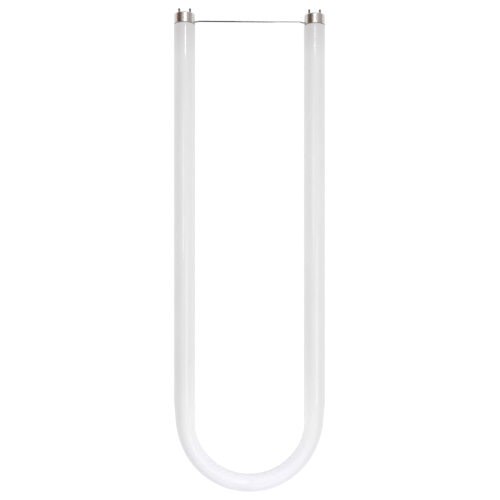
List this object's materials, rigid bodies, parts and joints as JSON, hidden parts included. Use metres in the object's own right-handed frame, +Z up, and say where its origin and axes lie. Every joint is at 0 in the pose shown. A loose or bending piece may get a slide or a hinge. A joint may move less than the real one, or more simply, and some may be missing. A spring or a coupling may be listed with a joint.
{
  "type": "u shaped fluorescent bulb",
  "caption": "White coated fluorescent tube bent into a U, with an aluminium bi-pin base on each leg and a wire brace between the bases.",
  "frame": {"origin": "middle of the lamp's outline, on the surface that it lies on", "axes": "+Z up, +Y along the legs towards the pins, +X to the right leg seen from above with the pins away from the viewer"},
  "size_m": [0.177, 0.5659, 0.0246],
  "materials": {
    "coated_glass": "glossy glass over a white inner coat",
    "steel_wire": "drawn wire, dark",
    "base_aluminium": "drawn, a little dull",
    "insulator": "pressed phenolic",
    "cement": "dull",
    "pin_brass": "plated, tarnished",
    "lead_metal": "drawn wire"
  },
  "bodies": {
    "root": {"glass_tube": "coated_glass", "brace_wire": "steel_wire", "base_shell_left": "base_aluminium", "base_shell_right": "base_aluminium", "insulator_disc_left": "insulator", "insulator_disc_right": "insulator", "basing_cement_left": "cement", "basing_cement_right": "cement", "contact_pin_left_outer": "pin_brass", "contact_pin_left_inner": "pin_brass", "contact_pin_right_inner": "pin_brass", "contact_pin_right_outer": "pin_brass", "lead_wire_left_outer": "lead_metal", "lead_wire_left_inner": "lead_metal", "lead_wire_right_inner": "lead_metal", "lead_wire_right_outer": "lead_metal"}
  },
  "joints": []
}
